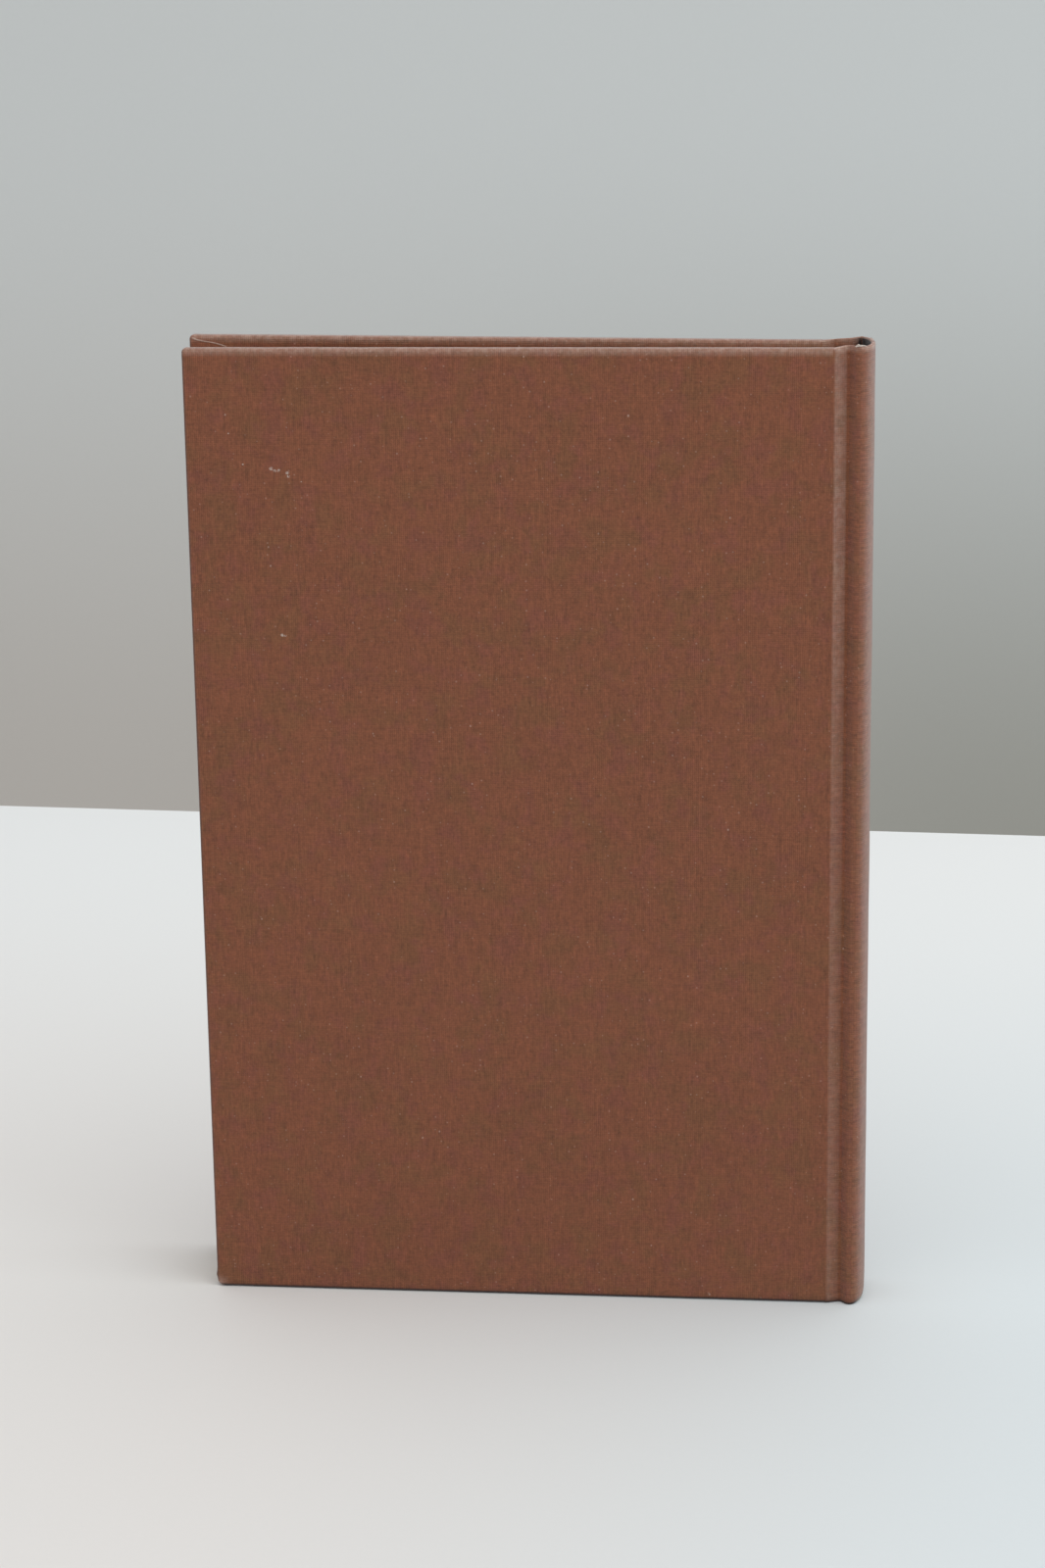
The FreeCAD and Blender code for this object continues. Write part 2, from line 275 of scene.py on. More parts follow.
class Finish:
    """One material and its nodes. The shader's constant values are set on its own sockets."""

    def __init__(self, name, **constants):
        self.material = bpy.data.materials.new(name)
        self.material.use_nodes = True
        self.tree = self.material.node_tree
        self.shader = self.tree.nodes["Principled BSDF"]
        for socket, value in constants.items():
            self.shader.inputs[socket.replace("_", " ")].default_value = value

    def node(self, kind, settings=None, inputs=None, output=0):
        """Adds a node: its settings first, then the values or links of its sockets."""
        node = self.tree.nodes.new(kind)
        for name, value in (settings or {}).items():
            setattr(node, name, value)
        for name, value in (inputs or {}).items():
            self.join(node.inputs[name], value)
        return Wire(self, node.outputs[output])

    def join(self, socket, value):
        """Links a wire to a socket, or sets the socket's value."""
        if isinstance(value, Wire):
            self.tree.links.new(value.socket, socket)
        elif hasattr(value, "__len__") and socket.type == "RGBA":
            socket.default_value = (*value[:3], 1)
        else:
            socket.default_value = value

    def math(self, operation, *values):
        """A Math node on numbers or wires."""
        return self.node("ShaderNodeMath", {"operation": operation}, dict(enumerate(values)))

    def sine(self, turns):
        """A wave that repeats every two half turns."""
        return self.math("SINE", turns * math.pi)

    def clamped(self, value):
        """A value kept between 0 and 1."""
        return self.node("ShaderNodeClamp", inputs={0: value})

    def fade(self, value, low, high):
        """0 below low, 1 above high, and smooth between."""
        settings = {"interpolation_type": "SMOOTHSTEP"}
        return self.node("ShaderNodeMapRange", settings, {"Value": value, "From Min": low, "From Max": high})

    def vector(self, x, y, z=0.0):
        """A vector from three numbers or wires."""
        return self.node("ShaderNodeCombineXYZ", inputs={0: x, 1: y, 2: z})

    def mix(self, low, high, share, blend="MIX"):
        """A colour between two colours."""
        settings = {"data_type": "RGBA", "blend_type": blend}
        return self.node("ShaderNodeMix", settings, {0: share, 6: low, 7: high}, 2)

    def noise(self, place, scale, detail=2.0, roughness=0.5):
        """Cloudy noise, about 0.5 on average."""
        inputs = {"Vector": place, "Scale": scale, "Detail": detail, "Roughness": roughness}
        return self.node("ShaderNodeTexNoise", inputs=inputs)

    def uneven(self, place, scale, detail=2.0, roughness=0.5):
        """Cloudy noise, about 0 on average."""
        return self.noise(place, scale, detail, roughness) - 0.5

    def lit(self, colour, light):
        """A colour made lighter or darker by a number."""
        return self.mix(colour, self.vector(light, light, light), 1.0, "MULTIPLY")

    def spots(self, place, scale, low, high):
        """Round specks, one in each cell, of sizes between low and high shares of a cell."""
        cells = self.node("ShaderNodeTexVoronoi", inputs={"Vector": place, "Scale": scale})
        chance = Wire(self, cells.socket.node.outputs["Color"]).parts()[0]
        radius = low + chance * (high - low)
        return self.clamped((radius - cells) / (0.4 * high))

    def place(self):
        """The point's place on the object."""
        return self.node("ShaderNodeTexCoord", output="Object")

    def on_cloth(self):
        """The point's place on the flat sheet of cloth, across and along, in metres."""
        return self.node("ShaderNodeUVMap", {"uv_map": "cloth"}).parts()[:2]

    def attribute(self, name):
        """A number painted on the piece."""
        return self.node("ShaderNodeAttribute", {"attribute_name": name}, output="Fac")

    def output(self, colours, roughness=None, height=None, relief=0.0):
        """Joins the finished colour, roughness and height to the shader."""
        self.join(self.shader.inputs["Base Color"], colours)
        if roughness is not None:
            self.join(self.shader.inputs["Roughness"], roughness)
        if height is not None:
            bump = self.node("ShaderNodeBump", inputs={"Height": height, "Distance": relief, "Strength": 1.0})
            self.join(self.shader.inputs["Normal"], bump)
        return self.material


# Whitish marks on the back cover: place along X and Z in the row frame, and size
SCUFFS = (
    (-58.7, 206.8, 0.55),
    (-57.9, 206.3, 0.45),
    (-57.0, 206.4, 0.5),
    (-54.9, 205.8, 0.5),
    (-54.7, 205.0, 0.45),
    (-51.7, 203.7, 0.26),
    (-65.4, 207.8, 0.26),
    (-68.6, 215.1, 0.24),
    (-54.7, 216.6, 0.24),
    (-57.3, 166.9, 0.5),
    (-56.6, 166.8, 0.35),
)

# The colour of the painted shade, nearly black, as linear values
PAINTED_SHADE_COLOUR = (0.012, 0.006, 0.005)


def cloth_finish(colours, sizes):
    """Plain-woven brown book cloth: uneven threads, faded clouds, pale specks, worn edges, painted
    highlights, painted shade and scuffs.
    """
    name = "worn_book_cloth"
    if name in bpy.data.materials:
        return bpy.data.materials[name]
    sheen = {"Sheen_Weight": 0.28, "Sheen_Roughness": 0.45, "Sheen_Tint": (0.88, 0.95, 1, 1)}
    finish = Finish(name, Specular_IOR_Level=0.3, **sheen)
    place = finish.place()
    across, along = finish.on_cloth()
    pull = finish.attribute("pull")
    wander = finish.uneven(place, 160.0, 1.0) * 0.7
    warp = across / sizes.thread_pitch + wander
    weft = along / sizes.thread_pitch + wander

    warp_wave = finish.sine(warp)
    weft_wave = finish.sine(weft)
    over = warp_wave * weft_wave * 0.38
    warp_share = (0.62 - 0.3 * pull) + over
    weft_share = (0.38 + 0.3 * pull) - over
    weave = warp_wave * warp_wave * warp_share + weft_wave * weft_wave * weft_share

    warp_slub = finish.uneven(finish.vector(warp * 0.7, weft * 0.07), 1.0, 2.0, 0.65)
    weft_slub = finish.uneven(finish.vector(warp * 0.07, weft * 0.7, 9.0), 1.0, 2.0, 0.65)
    slub = warp_slub * (1.0 - 0.75 * pull) + weft_slub * (0.45 + 0.75 * pull)
    warp_thread = finish.uneven(finish.vector(finish.math("FLOOR", warp) * 3.7, weft * 0.16), 1.0, 1.0)
    weft_thread = finish.uneven(finish.vector(warp * 0.16, finish.math("FLOOR", weft) * 3.7, 5.0), 1.0, 1.0)
    threads = warp_thread * (1.0 - 0.6 * pull) + weft_thread * (0.6 + 0.9 * pull)

    olive = finish.fade(finish.noise(place, 130.0, 2.0, 0.65), 0.44, 0.66)
    plum = finish.fade(finish.noise(finish.vector(along + 3.0, across), 150.0, 2.0, 0.65), 0.47, 0.68)
    ground = finish.mix(colours.cloth_red, colours.cloth_olive, olive * 0.75)
    ground = finish.mix(ground, colours.cloth_plum, plum * 0.6)

    cloud = finish.uneven(place, 30.0, 1.0, 0.6)
    grain = finish.uneven(finish.vector(warp, weft), 0.8, 1.0)
    fuzz = finish.uneven(finish.vector(warp, weft, 7.0), 0.33, 2.0, 0.6)
    light = 0.84 + weave * 0.17 + slub * 0.42 + threads * 0.5 + cloud * 0.1 + grain * 0.55 + fuzz * 0.25
    ground = finish.lit(ground, light)

    flecks = finish.spots(finish.vector(warp, weft * 0.8), 0.1, -0.01, 0.065)
    ground = finish.mix(ground, colours.cloth_worn_and_highlit, flecks * 0.55)
    fine = finish.spots(finish.vector(warp, weft, 4.0), 0.33, 0.0, 0.2)
    ground = finish.mix(ground, colours.cloth_worn_and_highlit, fine * 0.3)

    # The worn colour goes on worn threads, and also as a painted highlight on the lit head edge, the joint's
    # lit groove slope and the spine's outer back
    rubbed_and_highlit = finish.attribute("rubbed_and_highlit")
    patchy = finish.fade(finish.noise(place, 700.0, 2.0, 0.65) + slub * 0.25, 0.36, 0.72)
    bare = finish.clamped(rubbed_and_highlit * (0.45 + 0.6 * patchy + 0.35 * weave))
    ground = finish.mix(ground, colours.cloth_worn_and_highlit, bare)
    ground = finish.mix(ground, colours.cloth_scuff, finish.clamped(rubbed_and_highlit - 1.0))
    # Painted shade, nearly black: the tail's contact shadow, the fore-edge's rounding and the inside of the
    # hollow spine
    ground = finish.mix(ground, PAINTED_SHADE_COLOUR, finish.clamped(finish.attribute("painted_shade")))

    x, y, z = place.parts()
    marks = 0.0
    for mark_x, mark_z, size in SCUFFS:
        far_x = (x - mark_x * MM) / (size * MM)
        far_z = (z - mark_z * MM) / (size * 0.8 * MM)
        near = finish.clamped(1.15 - (far_x * far_x + far_z * far_z))
        marks = finish.math("MAXIMUM", marks, near)
    on_back = finish.math("LESS_THAN", y, BOOK_Y - OUTER_FACE + 0.5 * MM)
    chipped = finish.fade(finish.noise(place, 1500.0, 1.0) + weave * 0.2, 0.42, 0.62)
    ground = finish.mix(ground, colours.cloth_scuff, marks * on_back * chipped * 0.5)

    height = weave * 0.8 + slub * 0.9 + grain * 0.5
    return finish.output(ground, 0.86 - weave * 0.1, height, 0.09 * MM)


def paper_finish(name, tint, aged, edges=False):
    """Old paper: fibres, faint clouds and a few brown specks. On the leaves each edge has its own tone."""
    finish = Finish(name, Specular_IOR_Level=0.25)
    place = finish.place()
    x, y, z = place.parts()
    clouds = finish.fade(finish.noise(place, 22.0, 4.0, 0.6), 0.35, 0.75)
    fibres = finish.noise(finish.vector(x * 1400.0, y * 300.0, z * 420.0), 1.0, 3.0, 0.6)
    ground = finish.mix(tint, aged, clouds * 0.35)
    ground = finish.mix(ground, aged, finish.spots(place, 90.0, 0.0, 0.05) * 0.7)
    light = 0.93 + fibres * 0.13
    if edges:
        tone = finish.attribute("tone")
        rim = 1.0 - finish.fade(finish.attribute("inward"), 0.0, 9.0 * MM)
        ground = finish.mix(ground, aged, finish.clamped(rim * 0.55 + 0.25 * tone))
        light = light - tone * 0.16
    return finish.output(finish.lit(ground, light), 0.8 + fibres * 0.12, fibres, 0.02 * MM)


def board_finish(colours):
    """Greyboard: pressed waste fibre, mottled grey and brown."""
    finish = Finish("pressed_greyboard")
    place = finish.place()
    fibres = finish.noise(place, 900.0, 5.0, 0.7)
    specks = finish.spots(place, 420.0, 0.0, 0.16)
    ground = finish.mix(colours.greyboard, colours.lining, finish.fade(fibres, 0.45, 0.8) * 0.5)
    ground = finish.mix(ground, colours.cloth_plum, specks * 0.45)
    return finish.output(ground, 0.84 + fibres * 0.12, fibres, 0.08 * MM)


def card_finish(colours):
    """Brown strip card with a lengthways grain."""
    finish = Finish("brown_strip_card")
    x, y, z = finish.place().parts()
    grain = finish.noise(finish.vector(x * 1600.0, y * 1600.0, z * 140.0), 1.0, 4.0, 0.6)
    ground = finish.mix(colours.strip_card, colours.greyboard, finish.fade(grain, 0.4, 0.7) * 0.6)
    return finish.output(ground, 0.78 + grain * 0.14, grain, 0.04 * MM)


def gauze_finish(colours):
    """Starched gauze: open threads over the paper and glue beneath."""
    finish = Finish("starched_gauze")
    place = finish.place()
    x, y, z = place.parts()
    pitch = 1.1 * MM
    warp = finish.math("ABSOLUTE", finish.sine((x + y) / pitch))
    weft = finish.math("ABSOLUTE", finish.sine(z / pitch))
    threads = finish.fade(finish.math("MAXIMUM", warp, weft), 0.72, 0.9)
    glue = finish.noise(place, 260.0, 3.0)
    ground = finish.mix(colours.lining, colours.gauze, threads * 0.85 + 0.12)
    ground = finish.mix(ground, colours.strip_card, finish.fade(glue, 0.5, 0.75) * 0.3)
    return finish.output(ground, 0.75 + threads * 0.15, threads + glue * 0.3, 0.1 * MM)


def lining_finish(colours):
    """Kraft paper with fine ribs and glue stains."""
    finish = Finish("kraft_lining")
    place = finish.place()
    ribs = finish.sine(place.parts()[2] / (0.6 * MM))
    stains = finish.noise(place, 70.0, 4.0, 0.6)
    ground = finish.mix(colours.lining, colours.strip_card, finish.fade(stains, 0.4, 0.7) * 0.7)
    return finish.output(ground, 0.78 + stains * 0.12, ribs * 0.3 + stains, 0.03 * MM)


def band_finish(colours, sizes):
    """Silky thread wound round the band, grey with dust in the turns."""
    finish = Finish("wound_thread", Sheen_Weight=0.3)
    place = finish.place()
    x, y, z = place.parts()
    turns = finish.math("ABSOLUTE", finish.sine(y / sizes.band_thread))
    twist = finish.sine((x + z + y * 0.6) / (0.16 * MM))
    dust = finish.noise(place, 500.0, 3.0)
    ground = finish.mix(colours.lining, colours.band, finish.fade(turns, 0.1, 0.7))
    ground = finish.mix(ground, colours.greyboard, finish.fade(dust, 0.5, 0.8) * 0.4)
    return finish.output(ground, 0.5 + dust * 0.2, turns + twist * 0.15, 0.05 * MM)


def table_finish(colours):
    """A plain pale table top, with the window's cool light painted in towards the right, and a little lighter
    towards the wall.
    """
    finish = Finish("pale_table", Specular_IOR_Level=0.2)
    place = finish.place()
    x, y = place.parts()[:2]
    grain = finish.noise(place, 700.0, 2.0)
    ground = finish.mix(colours.floor, colours.floor_window_light, finish.fade(x, -0.08, 0.14) * 0.8)
    ground = finish.mix(ground, colours.floor_far, finish.fade(y, -0.05, 0.4))
    light = 0.99 + finish.uneven(place, 3.0, 3.0) * 0.03 + grain * 0.02
    return finish.output(finish.lit(ground, light), 0.7 + grain * 0.1, grain, 0.02 * MM)


def wall_finish(colours):
    """A plain grey wall, lighter higher up and dimmer low on the right, and clear when seen from behind."""
    finish = Finish("grey_wall", Specular_IOR_Level=0.2, Roughness=0.8)
    place = finish.place()
    x, z = place.parts()[::2]
    low = finish.mix(colours.wall_left, colours.wall_right, finish.fade(x, -0.2, 0.14))
    ground = finish.mix(low, colours.wall_high, finish.fade(z, -0.02, 0.27))
    light = 0.99 + finish.uneven(place, 3.0, 3.0) * 0.04 + finish.noise(place, 700.0, 2.0) * 0.02
    front = 1.0 - finish.node("ShaderNodeNewGeometry", output="Backfacing")
    finish.join(finish.shader.inputs["Alpha"], front)
    return finish.output(finish.lit(ground, light))


def smooth_step(value):
    """0 up to 0, 1 from 1 on, and smooth between."""
    share = min(max(value, 0.0), 1.0)
    return share * share * (3 - 2 * share)


def rise(value, start, run):
    """0 up to the start, 1 from a run after it, and smooth between. Start and run are in millimetres."""
    return smooth_step((value - start * MM) / (run * MM))


def fall(value, start, run):
    """1 up to the start, 0 from a run after it, and smooth between. Start and run are in millimetres."""
    return 1 - rise(value, start, run)


def ripple(x, y, z):
    """Smooth noise between about -1 and 1."""
    return noise.noise(Vector((x, y, z)))


def drawn(chance, *ranges):
    """A vector of random numbers, one from each range."""
    return Vector([chance.uniform(*ends) for ends in ranges])


def painted(mesh, *names):
    """New layers of numbers on the mesh's corners, which the materials read."""
    return [mesh.verts.layers.float.new(name) for name in names]


def cut_grid(mesh, axis, places):
    """Cuts the mesh along planes across an axis, so that it can bend there."""
    normal = Vector([float(i == axis) for i in range(3)])
    for place in places:
        everything = mesh.verts[:] + mesh.edges[:] + mesh.faces[:]
        bmesh.ops.bisect_plane(mesh, geom=everything, dist=1e-7, plane_co=normal * place, plane_no=normal)


def steps(low, high, size):
    """Evenly spaced places between two ends, without the ends, about a size apart."""
    count = max(int(round((high - low) / size)), 1)
    return [low + (high - low) * i / count for i in range(1, count)]


def block(mesh, low, high):
    """A box between two opposite corners, and its new corners."""
    made = bmesh.ops.create_cube(mesh, size=1)["verts"]
    bmesh.ops.scale(mesh, vec=Vector(high) - Vector(low), verts=made)
    bmesh.ops.translate(mesh, vec=(Vector(low) + Vector(high)) / 2, verts=made)
    return made


def rounded(mesh, edges, radius, segments):
    """Rounds edges over a radius."""
    size = {"offset": radius, "segments": segments, "profile": 0.5, "clamp_overlap": False}
    bmesh.ops.bevel(mesh, geom=edges, affect="EDGES", material=-1, **size)


def rounded_line(corners, reaches, count=7):
    """The points along a line of corners, each one rounded over its own reach."""
    line = []
    for i, (corner, reach) in enumerate(zip(corners, reaches)):
        here = Vector(corner)
        if reach == 0:
            line.append(here)
            continue
        start = here + (Vector(corners[i - 1]) - here).normalized() * reach
        end = here + (Vector(corners[i + 1]) - here).normalized() * reach
        line += interpolate_bezier(start, start.lerp(here, 0.55), end.lerp(here, 0.55), end, count)
    return line


def inward_normals(line):
    """For each point of a line that runs towards +X, the direction to the inside of the book."""
    normals = []
    for i in range(len(line)):
        along = line[min(i + 1, len(line) - 1)] - line[max(i - 1, 0)]
        normals.append(Vector((along.y, -along.x)).normalized())
    return normals


def along_line(line):
    """How far along the line each of its points lies."""
    far = [0.0]
    for start, end in zip(line, line[1:]):
        far.append(far[-1] + (end - start).length)
    return far


def pulled(mesh, edges):
    """Extrudes edges where they are, and returns the new edges and the new corners."""
    made = bmesh.ops.extrude_edge_only(mesh, edges=edges)["geom"]
    kinds = (bmesh.types.BMEdge, bmesh.types.BMVert)
    return [[item for item in made if isinstance(item, kind)] for kind in kinds]


def disc(mesh, centre, turn, radius, segments):
    """A filled circle: its corners and its edges."""
    place = Matrix.Translation(centre) @ turn
    made = bmesh.ops.create_circle(mesh, cap_ends=True, segments=segments, radius=radius, matrix=place)
    corners = made["verts"]
    return corners, list(dict.fromkeys(edge for corner in corners for edge in corner.link_edges))


def swept(line, stations, settle):
    """A closed sheet: a line of points in XY, extruded round a closed loop of insets and heights.
    settle(point, i, inset) moves each corner from there to its place."""
    mesh = bmesh.new()
    stop = mesh.verts.layers.int.new("stop")
    normals = inward_normals(line)

    def placed(i, inset, height):
        flat = line[i] + normals[i] * inset
        return settle(Vector((flat.x, flat.y, height)), i, inset)

    row = []
    for i in range(len(line)):
        corner = mesh.verts.new(placed(i, *stations[0]))
        corner[stop] = i
        row.append(corner)
    edges = [mesh.edges.new(pair) for pair in zip(row, row[1:])]
    for station in stations[1:] + stations[:1]:
        edges, corners = pulled(mesh, edges)
        for corner in corners:
            corner.co = placed(corner[stop], *station)
    bmesh.ops.remove_doubles(mesh, verts=mesh.verts[:], dist=1e-7)
    rims = [edge for edge in mesh.edges if edge.is_boundary]
    bmesh.ops.holes_fill(mesh, edges=rims, sides=0)
    bmesh.ops.recalc_face_normals(mesh, faces=mesh.faces[:])
    return mesh


def thread(mesh, points, radius, thinner):
    """One loose thread along a few points, thinner towards its tip. Returns its corners."""
    along = (points[1] - points[0]).normalized()
    turn = Vector((0, 0, 1)).rotation_difference(along).to_matrix().to_4x4()
    ring, edges = disc(mesh, points[0], turn, radius, 5)
    made = list(ring)
    for start, end in zip(points, points[1:]):
        edges, corners = pulled(mesh, edges)
        bmesh.ops.translate(mesh, vec=end - start, verts=corners)
        bmesh.ops.scale(mesh, vec=[thinner] * 3, space=Matrix.Translation(-end), verts=corners)
        made += corners
    bmesh.ops.edgeloop_fill(mesh, edges=edges)
    return made


def finished(mesh, name, material, slot, sharp=40):
    """Makes the mesh a smooth-shaded object of that name, with its material. The slot argument is not used.
    """
    data = bpy.data.meshes.new(name)
    mesh.to_mesh(data)
    mesh.free()
    piece = bpy.data.objects.new(name, data)
    bpy.context.scene.collection.objects.link(piece)
    data.materials.append(material)
    data.shade_smooth()
    data.set_sharp_from_angle(angle=math.radians(sharp))
    return piece


def put(mesh, place, *looks):
    """Carries the mesh from its layout to its place in the book, and finishes it."""
    bmesh.ops.transform(mesh, matrix=place, verts=mesh.verts[:])
    bmesh.ops.recalc_face_normals(mesh, faces=mesh.faces[:])
    return finished(mesh, *looks)


def lay_flat(mesh, unrolled):
    """Gives the faces their place on the flat sheet of cloth, which unrolled(face, point) finds."""
    flat = mesh.loops.layers.uv.new("cloth")
    for face in mesh.faces:
        for loop in face.loops:
            loop[flat].uv = unrolled(face, loop.vert)


def head_wear_and_highlight(height, top):
    """How worn the cloth is close to its head edge, with a painted highlight where light from above falls on
    that edge.
    """
    return HEAD_WEAR_AND_HIGHLIGHT * fall(top - height, 0.6, 1.1)


def tail_painted_shadow(height):
    """A painted contact shadow on the cloth where it stands on the table."""
    return TAIL_PAINTED_SHADOW * fall(height, 0.4, 0.8)


def fold_threads(mesh, rubbed_and_highlit):
    """A pale thread along the raised fold of the turn-in, inside a cover's head and tail corners."""
    for height, way in ((0, 1), (BOARD_HEIGHT, -1)):
        corner = Vector((-BOARD_WIDTH, TURN_IN_FACE, height))
        fold = []
        for share in (0, 0.16, 0.32, 0.5, 0.68, 0.84, 1):
            drop = 0.7 + 1.9 * share + 0.12 * math.sin(7 * share)
            fold.append(corner + Vector((0.8 + 8.4 * share, 0.05, way * drop)) * MM)
        for v in thread(mesh, fold, FOLD_RADIUS, 0.95):
            v[rubbed_and_highlit] = FOLD_WEAR


def corner_threads(mesh, rubbed_and_highlit):
    """Short threads worn loose round the worn tail corner."""
    chance = random.Random(3)
    for share in (0.05, 0.2, 0.35, 0.5, 0.62, 0.75, 0.9):
        a = share * math.pi / 2
        reach = WORN_CORNER_RADIUS - 0.1 * MM
        x = WORN_CORNER_RADIUS - BOARD_WIDTH - reach * math.cos(a)
        z = max(WORN_CORNER_RADIUS - reach * math.sin(a), 0.2 * MM)
        start = Vector((x, OUTER_FACE - 0.35 * MM, z))
        size = chance.uniform(0.6, 1.3) * MM
        tip = start + drawn(chance, (0.1, 0.6), (0.2, 0.35), (0.1, 0.7)) * size
        curl = interpolate_bezier(start, start.lerp(tip, 0.3), start.lerp(tip, 0.8), tip, 4)
        for v in thread(mesh, curl, CORNER_THREAD_RADIUS, 0.85):
            v[rubbed_and_highlit] = LOOSE_WEAR


def wrapped_box(turned, corners):
    """The outside of a board's cloth, with rounded corners and edges, open inside the turn-ins."""
    mesh = bmesh.new()
    fore_edge = -BOARD_WIDTH
    block(mesh, (fore_edge, TURN_IN_FACE, 0), (0, OUTER_FACE, BOARD_HEIGHT))
    for height, radius in corners:
        corner = []
        for edge in mesh.edges:
            if all(math.dist(v.co.xz, (fore_edge, height)) < TOLERANCE for v in edge.verts):
                corner.append(edge)
        rounded(mesh, corner, radius, CORNER_SEGMENTS)
    rim = []
    for edge in mesh.edges:
        on_faces = {round(v.co.y, 6) for v in edge.verts}
        at_spine = all(v.co.x > -TOLERANCE for v in edge.verts)
        if len(on_faces) == 1 and not at_spine:
            rim.append(edge)
    rounded(mesh, rim, BOARD_EDGE_RADIUS, EDGE_SEGMENTS)
    fine = [turned * i / 15 for i in range(1, 16)]
    cut_grid(mesh, 0, [fore_edge + f for f in fine] + steps(fore_edge + turned, 0, 3.5 * MM))
    cut_grid(mesh, 2, fine + [BOARD_HEIGHT - f for f in fine])
    cut_grid(mesh, 2, steps(turned, BOARD_HEIGHT - turned, 3.5 * MM))

    window = []
    for face in mesh.faces:
        x, y, z = face.calc_center_median()
        inside = x > fore_edge + turned and turned < z < BOARD_HEIGHT - turned
        if inside and (y < TURN_IN_FACE + 10 * TOLERANCE or x > -10 * TOLERANCE):
            window.append(face)
    bmesh.ops.delete(mesh, geom=window, context="FACES")
    return mesh


def cover_cloth(sizes, tail_corner, seed):
    """The cloth round one board, laid out shut with its outer face at +Y."""
    corners = ((0, tail_corner), (BOARD_HEIGHT, BOARD_CORNER_RADIUS))
    mesh = wrapped_box(sizes.turn_in, corners)
    rubbed_and_highlit, painted_shade = painted(mesh, "rubbed_and_highlit", "painted_shade")

    def unrolled(face, v):
        wrapped = OUTER_FACE - v.co.y
        across = v.co.x - (wrapped if face.normal.x < -0.7 else 0)
        along = v.co.z + (wrapped * math.copysign(1, face.normal.z) if abs(face.normal.z) > 0.7 else 0)
        return across, along

    mesh.normal_update()
    lay_flat(mesh, unrolled)
    for v in mesh.verts:
        x, y, z = v.co
        inset = x + BOARD_WIDTH
        rounding = 1 - smooth_step(min(inset, z, BOARD_HEIGHT - z) / ROUNDED_EDGE)
        v[rubbed_and_highlit] = EDGE_WEAR * rounding + head_wear_and_highlight(z, BOARD_HEIGHT)
        for height, radius in corners:
            far = math.dist((inset, z), (0, height))
            v[rubbed_and_highlit] = max(v[rubbed_and_highlit], CORNER_WEAR * (1 - smooth_step(far / (2.2 * radius))))
        # Painted contact shadow along the tail and painted shade along the fore-edge's rounding
        v[painted_shade] = max(tail_painted_shadow(z), FORE_EDGE_PAINTED_SHADE * fall(inset, 0.1, 0.6))
        if y > OUTER_FACE - TOLERANCE:
            swell = 0.05 * ripple(x * 60, seed * 60, z * 60)
            swell += 0.025 * ripple(x * 330, (seed + 3) * 330, z * 330)
            v.co.y += swell * MM * rise(-x, 0, 6)
        v.co.z = max(z + 0.06 * MM * ripple(x * 140, (seed + 7) * 140, z * 140) * rounding, 0)
        if tail_corner == WORN_CORNER_RADIUS:
            dent = math.exp(-(((v.co.z - DENT_HEIGHT) / DENT_REACH) ** 2)) * rounding
            v.co.x -= DENT_DEPTH * dent * fall(inset, 0, 1.5)
    bmesh.ops.solidify(mesh, geom=mesh.faces[:], thickness=sizes.cloth_thickness)
    fold_threads(mesh, rubbed_and_highlit)
    if tail_corner == WORN_CORNER_RADIUS:
        corner_threads(mesh, rubbed_and_highlit)
    return mesh


class BOOK_OT_cover_cloth(bpy.types.Operator):
    """Wraps the cloth round the two boards"""

    bl_idname = "book.cover_cloth"
    bl_label = "Cover cloth"

    def execute(self, context):
        sizes = context.scene.book_sizes
        material = cloth_finish(context.scene.book_colours, sizes)
        covers = (
            ("back", WORN_CORNER_RADIUS, BACK_SIDE, 1.3),
            ("front", BOARD_CORNER_RADIUS, FRONT_SIDE @ FRONT_TURN, 5.9),
        )
        for side, tail_corner, place, seed in covers:
            mesh = cover_cloth(sizes, tail_corner, seed)
            piece = put(mesh, place, side + "_cover_wrap", material, "book_cloth")
            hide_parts(side + "_cover_cloth")
            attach(piece, side + "_cover")
        return {"FINISHED"}


def folded_stations(sizes, room):
    """The loop of insets and heights that a sheet follows when its head and tail are folded over inside.
    room is what is left between the sheet and its turn-in."""
    cloth = sizes.cloth_thickness
    deep = 2 * cloth + room
    bend = deep / 2
    top = BOARD_HEIGHT
    end = sizes.turn_in
    heights = [bend + f * MM for f in (0, 0.6, 1.4, 2.6, 4.2)]
    heights = heights + steps(6 * MM, top - 6 * MM, 2.5 * MM) + [top - h for h in heights[::-1]]
    turns = [math.pi * i / 8 for i in range(1, 8)]
    depths = [bend, 1 * MM, 2 * MM, 6 * MM, end]
    loop = [(0.0, height) for height in heights]
    loop += [(bend - bend * math.cos(a), top - bend + bend * math.sin(a)) for a in turns]
    loop += [(deep, top - depth) for depth in depths]
    if room > 0:
        loop += [(cloth + room, top - end), (cloth + room, top - bend), (cloth, top - bend)]
    middle = [top - end - 0.3 * MM] + steps(end, top - end, 20 * MM)[::-1] + [end + 0.3 * MM]
    loop += [(cloth, height) for height in middle]
    if room > 0:
        loop += [(cloth, bend), (cloth + room, bend), (cloth + room, end)]
    loop += [(deep, depth) for depth in depths[::-1]]
    loop += [(bend + bend * math.cos(a), bend - bend * math.sin(a)) for a in turns]
    return loop


def joint_line(start, slip):
    """The outside of one joint's cloth: from the board's edge down into the groove and up on to the ridge."""
    path = [point.xy for point in start]
    path += [Vector((GROOVE_START - slip, GROOVE_FACE)), Vector((GROOVE_END, GROOVE_FACE))]
    path += [Vector((RIDGE_START, RIDGE_FACE)), Vector((SPINE_CENTRE, RIDGE_FACE))]
    return rounded_line(path, [0, 0.8 * BOARD_TURN, 0.26 * MM, 0.28 * MM, 0.75 * MM, 0])


